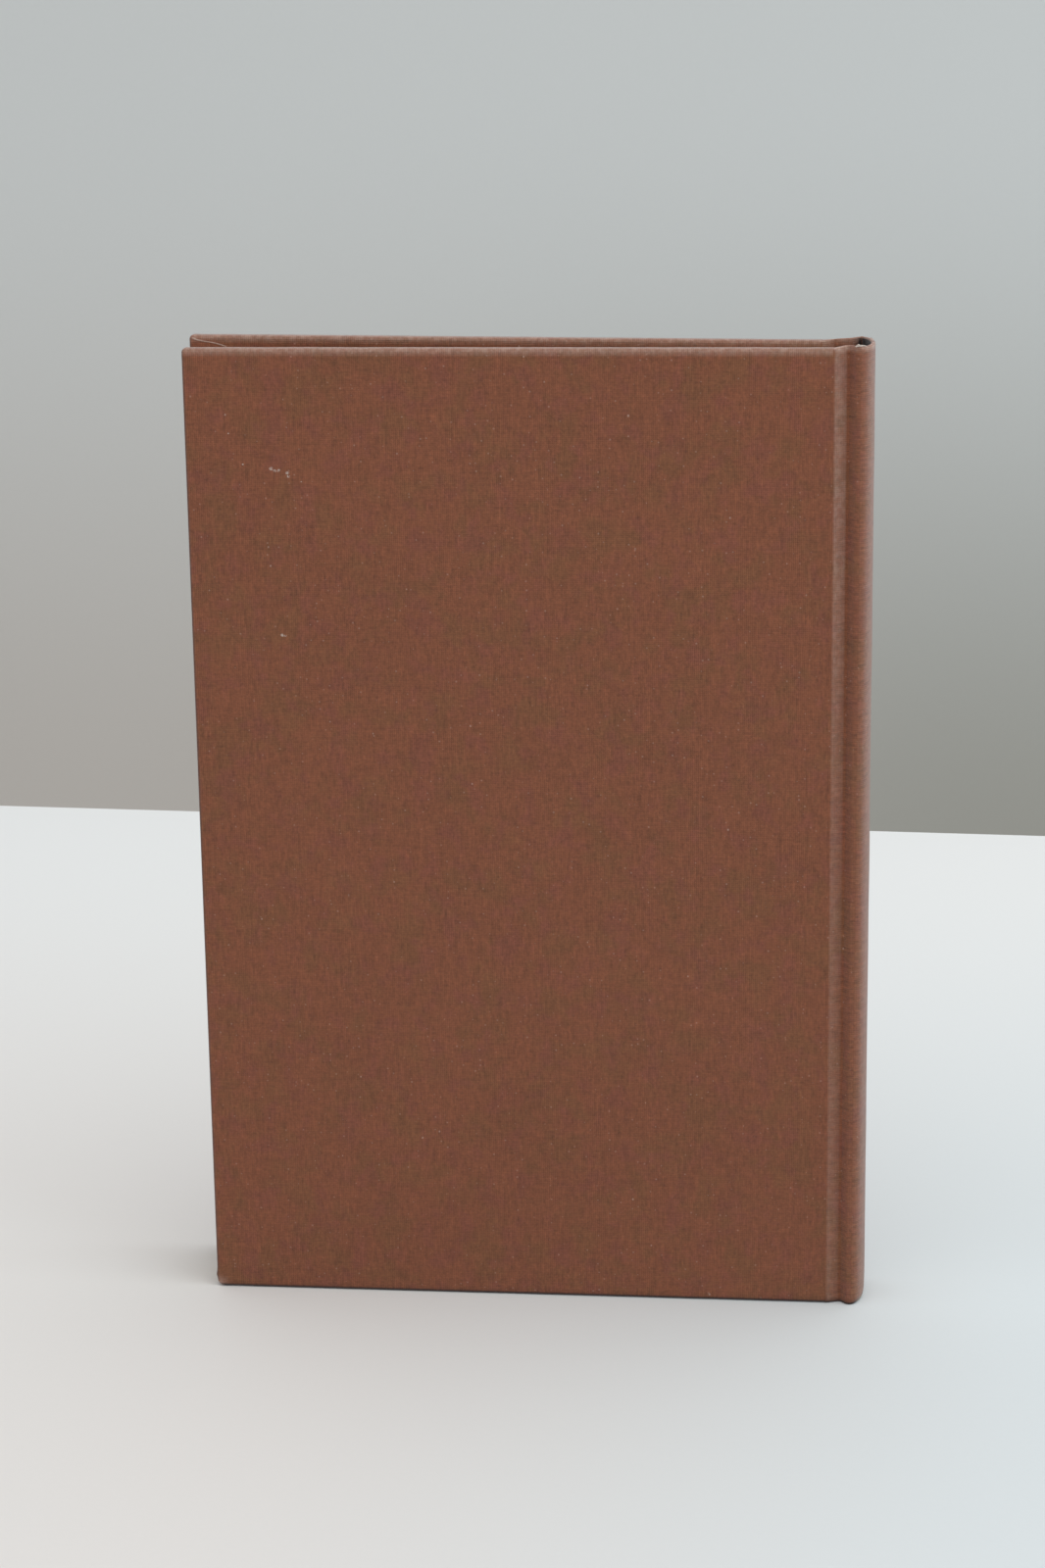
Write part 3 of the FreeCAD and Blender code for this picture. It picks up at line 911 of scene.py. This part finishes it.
def joint_cloth(sizes, start, slip, seed):
    """The cloth of one joint, laid out at +Y, rising from the board's height to the spine's."""
    line = joint_line(start, slip)
    first = line[0].x
    far = along_line(line)
    deep = 2 * sizes.cloth_thickness
    inward = inward_normals(line)[0].to_3d()

    def settle(point, i, inset):
        """Bridges the board's edge, lifts the groove low down, and waves at the head and tail."""
        x = line[i].x
        rest = far[-1] - far[i]
        ends = min(point.z, BOARD_HEIGHT - point.z)
        bridge = (OUTER_FACE - TURN_IN_FACE - deep) * fall(x - first, 0, 3.2) * fall(ends, 6, 7)
        point += inward * (bridge * inset / deep)
        point.y += GROOVE_LIFT * rise(far[i], 0, 2.4) * rise(rest, 0, 2.4) * fall(point.z, 90, 110)
        point.z *= 1 + SPINE_TALLER / BOARD_HEIGHT * smooth_step((x - first) / (GROOVE_END - first))
        free = rise(far[i], 0, 1.2) * rise(rest, 0, 0.8) * MM
        near_end = fall(BOARD_HEIGHT - point.z, 0, 9) + fall(point.z, 0, 9)
        point.y += ripple(x * 220, seed, point.z * 90) * free * (0.07 + 0.16 * near_end)
        point.z = max(point.z + ripple(x * 500, seed + 4, 0) * 0.12 * free * near_end, 0)
        return point

    mesh = swept(line, folded_stations(sizes, 0), settle)
    stop = mesh.verts.layers.int["stop"]
    rubbed_and_highlit, pull, painted_shade = painted(mesh, "rubbed_and_highlit", "pull", "painted_shade")
    for v in mesh.verts:
        at = far[v[stop]]
        place = line[v[stop]]
        # Painted shade inside the hollow just below the head, and a painted contact shadow along the tail
        hollow = rise(place.x, 4.6, 0.7) * (place.y - v.co.y >= 0.15 * MM)
        v[painted_shade] = max(tail_painted_shadow(v.co.z), HOLLOW_PAINTED_SHADE * hollow * rise(SPINE_TOP - v.co.z, 0.1, 0.4))
        v[pull] = rise(at, 0, 1.2)
        # A painted highlight on the groove's slope that faces the light, stronger towards the head
        groove_highlight = rise(at, 0.2, 0.5) * fall(at, 3.3, 0.4) * (0.1 + 0.14 * rise(v.co.z, 110, 90))
        on_board_edge = 0.1 * rise(at, 0, 0.3) * fall(at, 0.9, 1.4)
        on_ridge = 0.04 * rise(at - far[-1], -2.4, 1.6)
        v[rubbed_and_highlit] = groove_highlight + on_board_edge + on_ridge + head_wear_and_highlight(v.co.z, SPINE_TOP)
    lay_flat(mesh, lambda face, v: (far[v[stop]], v.co.z))
    return mesh


class BOOK_OT_joint_cloth(bpy.types.Operator):
    """Lays the cloth into the two joints, from each board to the spine"""

    bl_idname = "book.joint_cloth"
    bl_label = "Joint cloth"

    def execute(self, context):
        sizes = context.scene.book_sizes
        material = cloth_finish(context.scene.book_colours, sizes)
        square = (Vector((0, OUTER_FACE, 0)), Vector((BOARD_TURN, OUTER_FACE, 0)))
        turned = [FRONT_TURN @ point for point in square]
        joints = (("back", square, 0, BACK_SIDE, 2.1), ("front", turned, FRONT_SLIP, FRONT_SIDE, 8.4))
        for side, start, slip, place, seed in joints:
            mesh = joint_cloth(sizes, start, slip, seed)
            piece = put(mesh, place, side + "_joint_cloth", material, "book_cloth")
            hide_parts("spine_cloth")
            board_end = place @ Vector((start[0].x + 0.01 * MM, OUTER_FACE, 0))
            groove = place @ Vector((GROOVE_START - slip + 0.3 * MM, OUTER_FACE, 0))
            side + "_cover"
            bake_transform(piece)
        return {"FINISHED"}


def frayed_threads(mesh, sizes, rubbed_and_highlit, pull):
    """Threads worn loose round the spine's head and tail, and bright ones along the near lip of its head."""
    chance = random.Random(11)

    def worn(curl, radius, thinner, least, most):
        for v in thread(mesh, curl, radius, thinner):
            v[rubbed_and_highlit] = chance.uniform(least, most)
            v[pull] = 1

    for i in range(sizes.fray_count):
        at_head = i % 4 != 0
        way = 1 if at_head else -1
        a = chance.uniform(0.08, 0.92) * math.pi
        rim = Vector((SPINE_CENTRE + SPINE_BULGE * 0.86 * math.sin(a), RIDGE_FACE * 0.95 * math.cos(a), 0))
        rim.z = SPINE_TOP - 0.25 * MM if at_head else 0.35 * MM
        rim.x -= 0 if at_head else 0.7 * MM * math.sin(a)
        size = sizes.fray_length * chance.uniform(0.3, 1)
        middle = rim + drawn(chance, (-1, 1), (-1, 1), (way * 0.05, way * 0.35)) * size * 0.45
        tip = middle + Vector((*drawn(chance, (-1, 1), (-1, 1)), way * -0.15)) * size * 0.4
        middle.z = max(middle.z, 0.12 * MM)
        tip.z = max(tip.z, 0.1 * MM)
        worn(interpolate_bezier(rim, rim.lerp(middle, 0.6), middle, tip, 5), FRAY_RADIUS, 0.9, 0.5, 1)
    for i in range(LIP_THREADS):
        lip = Vector((0, -RIDGE_FACE, SPINE_TOP))
        start = lip + drawn(chance, (4.7, 6.3), (0.0, 0.5), (-0.2, 0.15)) * MM
        tip = start + drawn(chance, (0.5, 1.6), (-0.35, 0.35), (-0.15, 0.3)) * MM
        lift = Vector((0, 0, chance.uniform(0.05, 0.3) * MM))
        curl = interpolate_bezier(start, start.lerp(tip, 0.4) + lift, start.lerp(tip, 0.7) + lift, tip, 5)
        worn(curl, LIP_THREAD_RADIUS, 0.92, 1.4, 1.9)


def spine_cloth(sizes):
    """The cloth rolled over the hollow spine, from ridge to ridge, with its head and tail folded in."""
    line = []
    for i in range(SPINE_SEGMENTS + 1):
        a = math.pi * i / SPINE_SEGMENTS
        line.append(Vector((SPINE_CENTRE + SPINE_BULGE * math.sin(a), RIDGE_FACE * math.cos(a))))
    far = along_line(line)
    normals = inward_normals(line)

    def settle(point, i, inset):
        """Thins the sides, rounds the foot, and dents the head and the tail."""
        middle = smooth_step(min(i, SPINE_SEGMENTS - i) / SPINE_END)
        point -= normals[i].to_3d() * inset * SPINE_END_THINNER * (1 - middle)
        foot = max(1 - point.z / FOOT_HEIGHT, 0)
        point.x -= FOOT_DEPTH * foot**2 * math.sin(math.pi * i / SPINE_SEGMENTS)
        point.z *= SPINE_TOP / BOARD_HEIGHT
        near_head = fall(BOARD_HEIGHT - point.z, 0, 7)
        near_tail = fall(point.z, 0, 7)
        dent = ripple(far[i] * 160, 3.3, point.z * 70) * middle * MM
        point.x += dent * (0.08 + 0.3 * near_head + 0.2 * near_tail)
        point.z += ripple(far[i] * 420, 6.1, 0) * 0.22 * MM * middle * near_head
        point.z = max(point.z, 0)
        return point

    mesh = swept(line, folded_stations(sizes, STRIP_ROOM), settle)
    stop = mesh.verts.layers.int["stop"]
    rubbed_and_highlit, pull, painted_shade = painted(mesh, "rubbed_and_highlit", "pull", "painted_shade")
    for v in mesh.verts:
        # Painted shade inside the hollow near the head and the tail, and a painted contact shadow along the
        # tail
        hollow = math.hypot((v.co.x - SPINE_CENTRE) / SPINE_BULGE, v.co.y / RIDGE_FACE) < 0.93
        inside = HOLLOW_PAINTED_SHADE * hollow * rise(min(v.co.z, SPINE_TOP - v.co.z), 0.1, 0.4)
        v[painted_shade] = max(inside, tail_painted_shadow(v.co.z))
        v[pull] = 1
        # The spine's outer back is lighter, partly from wear and partly as a painted highlight where the side
        # light falls on it
        v[rubbed_and_highlit] = 0.06 + 0.16 * rise(v.co.x - SPINE_CENTRE, 0.8, 1.6) + head_wear_and_highlight(v.co.z, SPINE_TOP)
    lay_flat(mesh, lambda face, v: (far[v[stop]], v.co.z))
    frayed_threads(mesh, sizes, rubbed_and_highlit, pull)
    return mesh


class BOOK_OT_spine_cloth(bpy.types.Operator):
    """Rolls the cloth over the hollow spine, with worn lips and loose threads at its head and tail"""

    bl_idname = "book.spine_cloth"
    bl_label = "Spine cloth"

    def execute(self, context):
        sizes = context.scene.book_sizes
        material = cloth_finish(context.scene.book_colours, sizes)
        piece = put(spine_cloth(sizes), FRONT_SIDE, "spine_roll", material, "book_cloth")
        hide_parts("spine_cloth")
        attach(piece, "book_block")
        return {"FINISHED"}


def paste_depth(x, z, turned):
    """How far a pastedown sinks from the turn-ins to the bare board inside them."""
    return PASTE_SINK * rise(min(x + BOARD_WIDTH, z, BOARD_HEIGHT - z) - turned, -0.2, 1.5)


def pastedown(sizes, seed):
    """The leaf glued inside a cover, laid out shut at +Y, sunk inside the ridge of the turn-ins."""
    mesh = bmesh.new()
    block(mesh, (PAGE_FORE_EDGE, PASTEDOWN_FACE, PAGE_TAIL), (0, PASTEDOWN_FACE + ENDPAPER, PAGE_HEAD))
    turned = sizes.turn_in
    past = turned + 2 * MM
    ridge = [turned + f * MM for f in (-0.6, -0.2, 0.1, 0.4, 0.7, 1.0, 1.3, 1.8)]
    cut_grid(mesh, 0, [f - BOARD_WIDTH for f in ridge] + steps(past - BOARD_WIDTH, 0, 4 * MM))
    heights = ridge + [BOARD_HEIGHT - f for f in ridge]
    cut_grid(mesh, 2, heights + steps(past, BOARD_HEIGHT - past, 5 * MM))
    for v in mesh.verts:
        x, z = v.co.xz
        swell = abs(ripple(x * 90, seed * 90, z * 90)) * 0.02 * MM
        v.co.y += paste_depth(x, z, turned) + swell * rise(-x, 0, 4)
    return mesh


def hinge_leaf(sizes, slip, turn):
    """The strip of endpaper across a joint, laid out at +Y, from the pastedown's edge to the pages' spine.
    turn carries the cover's edge to where it is."""
    half = ENDPAPER / 2
    edge = turn @ Vector((0, PASTEDOWN_FACE + half, 0))
    fold = Vector((GROOVE_START - slip, HINGE_LEAF_MIDDLE))
    line = rounded_line([edge.xy, fold, Vector((PAGE_SPINE, HINGE_LEAF_MIDDLE))], [0, 0.8 * MM, 0], 12)
    line = [edge.xy.lerp(line[1], share / 14) for share in range(14)] + line[1:]
    heights = [PAGE_TAIL] + steps(PAGE_TAIL, PAGE_HEAD, 2.2 * MM) + [PAGE_HEAD]
    loop = [(-half, height) for height in heights] + [(half, height) for height in heights[::-1]]

    def settle(point, i, inset):
        """Starts as deep as the pastedown has sunk, and comes level at the fold."""
        share = 1 - smooth_step((line[i].x - edge.x) / (fold.x - edge.x))
        point.y += paste_depth(0, point.z, sizes.turn_in) * share
        return point

    return swept(line, loop, settle)


def leaf_places():
    """Where a leaf is cut across its width, so that it can bend at its shoulder."""
    near = [SHOULDER_START - FRONT_SLIP - SHOULDER_RUN + f * 0.5 * MM for f in range(13)]
    return [PAGE_FORE_EDGE + f * MM for f in (0.4, 20, 70)] + near


def nip(v, slip):
    """Brings a leaf's corner towards the middle plane where the leaf passes its shoulder."""
    share = smooth_step((v.co.x - SHOULDER_START + slip + SHOULDER_RUN) / SHOULDER_RUN)
    v.co.y *= 1 + (SHOULDER_FACE / PAGE_FACE - 1) * share


def free_leaf(slip):
    """The flyleaf, laid out at +Y on the pages."""
    mesh = bmesh.new()
    low = (PAGE_FORE_EDGE + 0.15 * MM, PAGE_FACE + 0.01 * MM, PAGE_TAIL + 0.05 * MM)
    block(mesh, low, (PAGE_SPINE, PAGE_FACE + ENDPAPER, PAGE_HEAD - 0.05 * MM))
    cut_grid(mesh, 0, leaf_places())
    cut_grid(mesh, 2, steps(PAGE_TAIL, PAGE_HEAD, 12 * MM))
    for v in mesh.verts:
        nip(v, slip)
    return mesh


class BOOK_OT_endpapers(bpy.types.Operator):
    """Makes the pastedowns, the strips across the joints and the flyleaves"""

    bl_idname = "book.endpapers"
    bl_label = "Endpapers"

    def execute(self, context):
        sizes = context.scene.book_sizes
        colours = context.scene.book_colours
        material = paper_finish("old_endpaper", colours.endpaper, colours.paper_edge)
        sides = (
            ("back", BACK_SIDE, Matrix.Identity(4), 0, 4.2),
            ("front", FRONT_SIDE, FRONT_TURN, FRONT_SLIP, 9.6),
        )
        for side, place, turn, slip, seed in sides:
            leaf = pastedown(sizes, seed)
            piece = put(leaf, place @ turn, side + "_pastedown_leaf", material, "endpaper")
            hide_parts(side + "_pastedown")
            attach(piece, side + "_cover")

            piece = put(hinge_leaf(sizes, slip, turn), place, side + "_hinge_leaf", material, "endpaper")
            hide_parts(side + "_flyleaf")
            board_end = place @ Vector(((turn @ Vector((0, PASTEDOWN_FACE, 0))).x + 0.12 * MM, 0, 0))
            fold = place @ Vector((GROOVE_START - slip + 0.6 * MM, 0, 0))
            side + "_cover"
            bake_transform(piece)

            piece = put(free_leaf(slip), place, side + "_free_leaf", material, "endpaper")
            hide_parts(side + "_flyleaf")
            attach(piece, "book_block")
        return {"FINISHED"}


def leaves(sizes):
    """The trimmed leaves in their sewn sections, each with its own tone, nipped in at the shoulders."""
    chance = random.Random(5)
    mesh = bmesh.new()
    tone, inward = painted(mesh, "tone", "inward")
    pitch = 2 * PAGE_FACE / sizes.leaf_count
    section_shift = 0.0
    for i in range(sizes.leaf_count):
        first_of_section = i % sizes.section_leaves == 0
        if first_of_section:
            section_shift = chance.uniform(0, 0.6) * sizes.leaf_setback
        low_y = -PAGE_FACE + pitch * (i + (0.22 if first_of_section else 0.08))
        cut = [section_shift + chance.uniform(0, 0.5) * sizes.leaf_setback for _ in range(3)]
        low = (PAGE_FORE_EDGE + cut[0], low_y, PAGE_TAIL + cut[1])
        high = (PAGE_SPINE, -PAGE_FACE + pitch * (i + 1), PAGE_HEAD - cut[2])
        shade = chance.uniform(0, 1) * (1.0 if first_of_section else 0.7)
        for corner in block(mesh, low, high):
            corner[tone] = shade
    cut_grid(mesh, 0, leaf_places())
    cut_grid(mesh, 2, steps(PAGE_TAIL + 1 * MM, PAGE_HEAD - 1 * MM, 25 * MM))
    for v in mesh.verts:
        x, y, z = v.co
        v[inward] = max(min(x - PAGE_FORE_EDGE, z - PAGE_TAIL, PAGE_HEAD - z), 0)
        nip(v, FRONT_SLIP * min(max((y + PAGE_FACE) / (2 * PAGE_FACE), 0), 1))
        v.co.z += ripple(x * 30, v.co.y * 90, 2.0) * 0.03 * MM * rise(x - PAGE_FORE_EDGE, 0, 40)
    return mesh


class BOOK_OT_pages(bpy.types.Operator):
    """Stacks the trimmed leaves in their sewn sections"""

    bl_idname = "book.pages"
    bl_label = "Pages"

    def execute(self, context):
        colours = context.scene.book_colours
        material = paper_finish("old_leaves", colours.paper, colours.paper_edge, True)
        piece = put(leaves(context.scene.book_sizes), FRONT_SIDE, "leaves", material, "page_paper", 30)
        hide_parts("text_block")
        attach(piece, "book_block")
        return {"FINISHED"}


def wound_band(sizes, height, way):
    """A round band across the pages' back, waisted between the turns of its thread, and its glued tape."""
    mesh = bmesh.new()
    centre = Vector((BAND_BACK - BAND_RADIUS, -BAND_HALF, height + way * BAND_RADIUS))
    turn = Matrix.Rotation(math.radians(-90), 4, "X")
    edges = disc(mesh, centre, turn, BAND_RADIUS, BAND_SIDES)[1]
    turns = int(round(2 * BAND_HALF / sizes.band_thread))
    stride = 2 * BAND_HALF / turns / 4
    for i in range(turns):
        for grow in (1 / BAND_WAIST if i else 1, 1, 1, BAND_WAIST):
            edges, corners = pulled(mesh, edges)
            bmesh.ops.translate(mesh, vec=(0, stride, 0), verts=corners)
            centre.y += stride
            bmesh.ops.scale(mesh, vec=(grow, 1, grow), space=Matrix.Translation(-centre), verts=corners)
    bmesh.ops.edgeloop_fill(mesh, edges=edges)
    low, high = sorted((height - way * BAND_TAPE, height + way * 0.6 * MM))
    block(mesh, (PAGE_SPINE + 0.02 * MM, -BAND_HALF, low), (BAND_BACK, BAND_HALF, high))
    return mesh


class BOOK_OT_bands(bpy.types.Operator):
    """Winds the thread of the head and tail bands"""

    bl_idname = "book.bands"
    bl_label = "Head and tail bands"

    def execute(self, context):
        sizes = context.scene.book_sizes
        material = band_finish(context.scene.book_colours, sizes)
        for node, height, way in (("head_band", PAGE_HEAD, 1), ("tail_band", PAGE_TAIL, -1)):
            mesh = wound_band(sizes, height, way)
            piece = put(mesh, FRONT_SIDE, node + "_thread", material, "band_thread", 50)
            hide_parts(node)
            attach(piece, "book_block")
        return {"FINISHED"}


class BOOK_OT_linings(bpy.types.Operator):
    """Gives the boards, the spine strip and the pages' linings their materials"""

    bl_idname = "book.linings"
    bl_label = "Boards and linings"

    def execute(self, context):
        colours = context.scene.book_colours
        board = board_finish(colours)
        finishes = {
            "front_board": board,
            "back_board": board,
            "spine_strip": card_finish(colours),
            "spine_gauze": gauze_finish(colours),
            "spine_lining": lining_finish(colours),
        }
        for node, material in finishes.items():
            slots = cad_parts[node].data.materials
            slots.clear()
            slots.append(material)
        return {"FINISHED"}


def soft_light(name, place, size, power, tint):
    """A large square lamp, turned towards the book."""
    data = bpy.data.lights.new(name, "AREA")
    data.shape = "SQUARE"
    data.size = size
    data.energy = power
    data.color = tint
    lamp = bpy.data.objects.new(name, data)
    bpy.context.scene.collection.objects.link(lamp)
    lamp.location = place
    lamp.rotation_euler = (LIGHT_AIM - Vector(place)).to_track_quat("-Z", "Y").to_euler()


def camera_eye():
    """The camera, where the photograph was taken from."""
    camera = bpy.data.cameras.new("camera")
    camera.sensor_width = 36.0
    camera.lens = CAMERA_LENS
    camera.clip_start = 0.01
    camera.clip_end = 20
    eye = bpy.data.objects.new("camera", camera)
    eye.location = CAMERA_PLACE
    eye.rotation_euler = CAMERA_TURN
    bpy.context.scene.collection.objects.link(eye)
    return eye


class BOOK_OT_stage(bpy.types.Operator):
    """Sets the table top, the wall, the soft light and the camera"""

    bl_idname = "book.stage"
    bl_label = "Stage"

    def execute(self, context):
        scene = context.scene
        floor = bmesh.new()
        bmesh.ops.create_grid(floor, x_segments=6, y_segments=6, size=2.0)
        floor_piece = finished(floor, "table_top", table_finish(scene.book_colours), "stage")

        wall = bmesh.new()
        turn = Matrix.Rotation(WALL_TURN, 4, "Z") @ Matrix.Rotation(math.radians(90), 4, "X")
        upright = Matrix.Translation(WALL_PLACE) @ turn
        bmesh.ops.create_grid(wall, x_segments=6, y_segments=6, size=1.2, matrix=upright)
        wall_piece = finished(wall, "wall_behind", wall_finish(scene.book_colours), "stage")
        wall_piece.visible_diffuse = False
        wall_piece.visible_glossy = False
        wall_piece.visible_shadow = False

        world = bpy.data.worlds.new("soft_room")
        world.use_nodes = True
        sky = world.node_tree.nodes["Background"]
        sky.inputs["Color"].default_value = SKY_TINT
        sky.inputs["Strength"].default_value = SKY_STRENGTH
        scene.world = world
        soft_light("overhead", (0.35, -0.35, 1.3), 1.4, 7.0, (1.0, 0.955, 0.9))
        soft_light("right_window", (1.3, -0.45, 0.48), 1.5, 8.0, (0.68, 0.89, 1.0))
        scene.camera = camera_eye()
        scene.view_settings.view_transform = "Standard"
        return {"FINISHED"}


class BOOK_PT_panel(bpy.types.Panel):
    """The book's sizes, colours and pieces"""

    bl_idname = "BOOK_PT_panel"
    bl_label = "Cloth-bound book"
    bl_space_type = "VIEW_3D"
    bl_region_type = "UI"
    bl_category = "Book"

    def draw(self, context):
        for group in (context.scene.book_sizes, context.scene.book_colours):
            box = self.layout.box()
            for name in group.__annotations__:
                box.prop(group, name)
        for operator in OPERATORS:
            self.layout.operator(operator.bl_idname)


GROUPS = (BookSizes, BookColours)
OPERATORS = (
    BOOK_OT_cover_cloth,
    BOOK_OT_joint_cloth,
    BOOK_OT_spine_cloth,
    BOOK_OT_endpapers,
    BOOK_OT_pages,
    BOOK_OT_bands,
    BOOK_OT_linings,
    BOOK_OT_stage,
)


def register():
    for item in GROUPS + OPERATORS + (BOOK_PT_panel,):
        bpy.utils.register_class(item)
    bpy.types.Scene.book_sizes = PointerProperty(type=BookSizes)
    bpy.types.Scene.book_colours = PointerProperty(type=BookColours)


def unregister():
    del bpy.types.Scene.book_colours
    del bpy.types.Scene.book_sizes
    for item in (BOOK_PT_panel,) + OPERATORS[::-1] + GROUPS[::-1]:
        bpy.utils.unregister_class(item)


def main():
    register()
    bpy.ops.book.cover_cloth()
    bpy.ops.book.joint_cloth()
    bpy.ops.book.spine_cloth()
    bpy.ops.book.endpapers()
    bpy.ops.book.pages()
    bpy.ops.book.bands()
    bpy.ops.book.linings()
    bpy.ops.book.stage()


if __name__ == "__main__":
    main()
